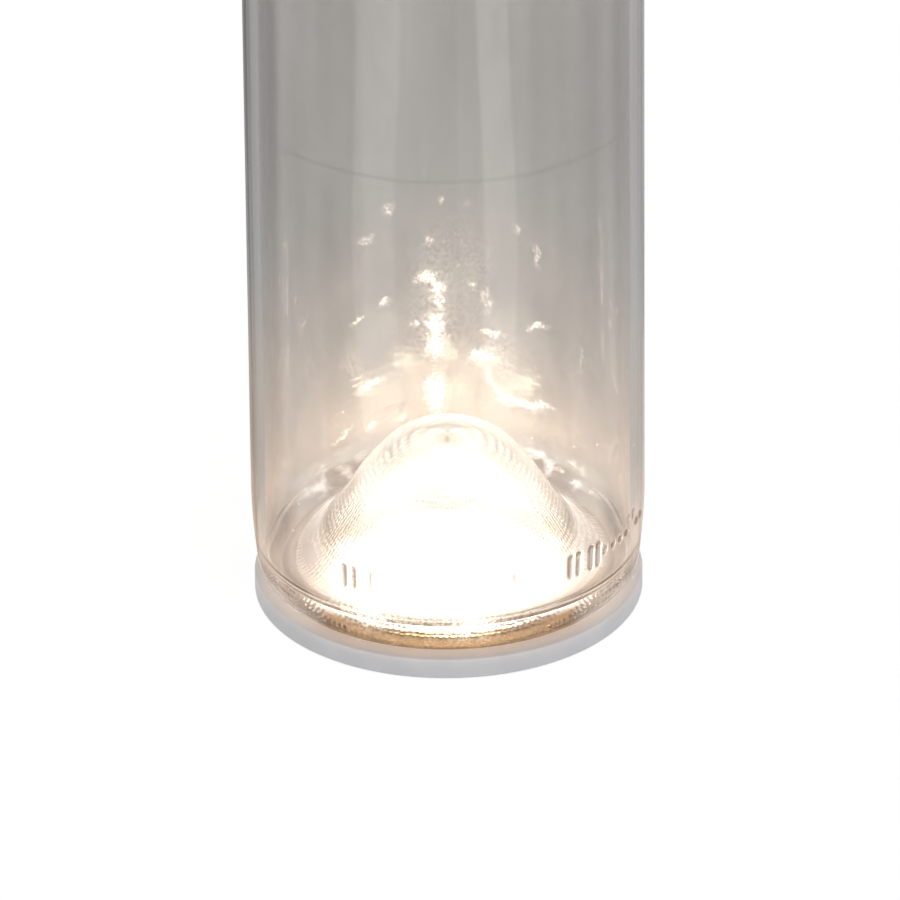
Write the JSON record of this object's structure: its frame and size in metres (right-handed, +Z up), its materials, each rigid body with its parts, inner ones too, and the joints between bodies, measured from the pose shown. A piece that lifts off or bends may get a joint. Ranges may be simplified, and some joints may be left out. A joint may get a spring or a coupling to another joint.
{
  "type": "bottle light",
  "caption": "Clear glass bottle with a tapered cork stopper, standing on a thin round white plastic light disc that shines up through the hollow under the bottle.",
  "frame": {"origin": "centre of the foot ring's underside, on the surface that the object stands on", "axes": "+Z up along the bottle's axis, +Y towards the back, where the battery drawer slides out, +X to the right seen from the front"},
  "size_m": [0.0668, 0.0668, 0.2898],
  "materials": {
    "clear_glass": "clear, slightly grey moulded glass",
    "cork": "natural cork, matte, with small pores",
    "opal_plastic": "opal white, fine matte",
    "light_plastic": "translucent opal, lit warm white from below",
    "clear_rubber": "translucent silicone, matte",
    "grey_rubber": "light grey soft foam, matte",
    "screw_steel": "zinc plated",
    "white_board": "white solder mask, satin",
    "lamp_yellow": "phosphor in a white case, lit",
    "black_plastic": "moulded black",
    "tan_ceramic": "fired ceramic, satin",
    "switch_steel": "satin",
    "button_plastic": "light grey, fine matte",
    "cell_steel": "nickel plated",
    "contact_brass": "sheet, satin"
  },
  "bodies": {
    "disc": {"top_cover": "opal_plastic", "light_window": "light_plastic", "grip_ring": "clear_rubber", "base_plate": "opal_plastic", "foot_ring": "grey_rubber", "cover_screws": "screw_steel", "circuit_board": "white_board", "lamp_1": "lamp_yellow", "lamp_2": "lamp_yellow", "lamp_3": "lamp_yellow", "lamp_4": "lamp_yellow", "lamp_5": "lamp_yellow", "lamp_6": "lamp_yellow", "control_chip": "black_plastic", "resistors": "black_plastic", "capacitor": "tan_ceramic", "switch_body": "switch_steel", "contact_plus": "contact_brass", "contact_minus": "contact_brass"},
    "bottle": {"bottle": "clear_glass"},
    "cork": {"cork": "cork"},
    "drawer": {"battery_drawer": "opal_plastic", "button_cell": "cell_steel"},
    "button": {"push_button": "button_plastic", "switch_plunger": "black_plastic"}
  },
  "joints": [
    {"name": "bottle_lift", "type": "slide", "parent": "disc", "child": "bottle", "axis": [0, 0, 1], "range_m": [0, 0.05]},
    {"name": "cork_pull", "type": "slide", "parent": "bottle", "child": "cork", "axis": [0, 0, 1], "range_m": [0, 0.04]},
    {"name": "drawer_slide", "type": "slide", "parent": "disc", "child": "drawer", "axis": [0, 1, 0], "range_m": [0, 0.023]},
    {"name": "button_press", "type": "slide", "parent": "disc", "child": "button", "axis": [0, 0, 1], "range_m": [0, 0.00025], "stiffness_N_per_m": 800}
  ]
}
